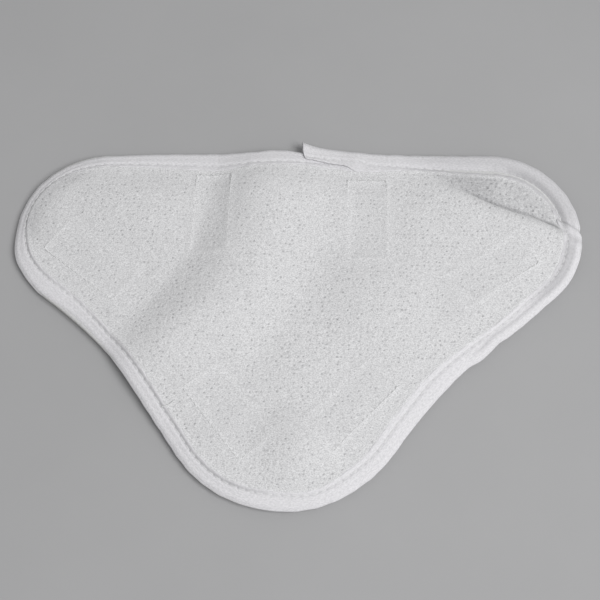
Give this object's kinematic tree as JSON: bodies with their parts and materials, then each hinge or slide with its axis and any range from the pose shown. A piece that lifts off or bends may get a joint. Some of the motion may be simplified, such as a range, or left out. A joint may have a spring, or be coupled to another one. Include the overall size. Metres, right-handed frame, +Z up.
{
  "type": "steam mop floor pad",
  "caption": "Washable three-lobed terry pad with a taped edge and hook tape patches on its back, which fastens under a triangular steam mop head and wipes hard floors.",
  "frame": {"origin": "middle of the bounding box, on the floor under the hook patches", "axes": "+X along the straight back edge, with the front lobe towards -Y; +Z up out of the terry face"},
  "size_m": [0.3028, 0.1998, 0.0159],
  "materials": {
    "terry": "looped pile, matte",
    "wadding": "loose fibre, matte",
    "backing": "plain weave, matte",
    "tape": "smooth knitted tape, satin",
    "hook_tape": "nylon hooks, semi-gloss",
    "thread": "polyester thread, satin"
  },
  "bodies": {
    "root": {"face_cloth": "terry", "core_wadding": "wadding", "back_cloth": "backing", "edge_binding": "tape", "edge_seam_needle_thread": "thread", "edge_seam_bobbin_thread": "thread", "hook_patch_left_side": "hook_tape", "hook_patch_left_back": "hook_tape", "hook_patch_right_back": "hook_tape", "hook_patch_right_side": "hook_tape", "hook_patch_left_front": "hook_tape", "hook_patch_right_front": "hook_tape", "patch_needle_thread_left_side": "thread", "patch_needle_thread_left_back": "thread", "patch_needle_thread_right_back": "thread", "patch_needle_thread_right_side": "thread", "patch_needle_thread_left_front": "thread", "patch_needle_thread_right_front": "thread", "patch_bobbin_thread_left_side": "thread", "patch_bobbin_thread_left_back": "thread", "patch_bobbin_thread_right_back": "thread", "patch_bobbin_thread_right_side": "thread", "patch_bobbin_thread_left_front": "thread", "patch_bobbin_thread_right_front": "thread"}
  },
  "joints": []
}
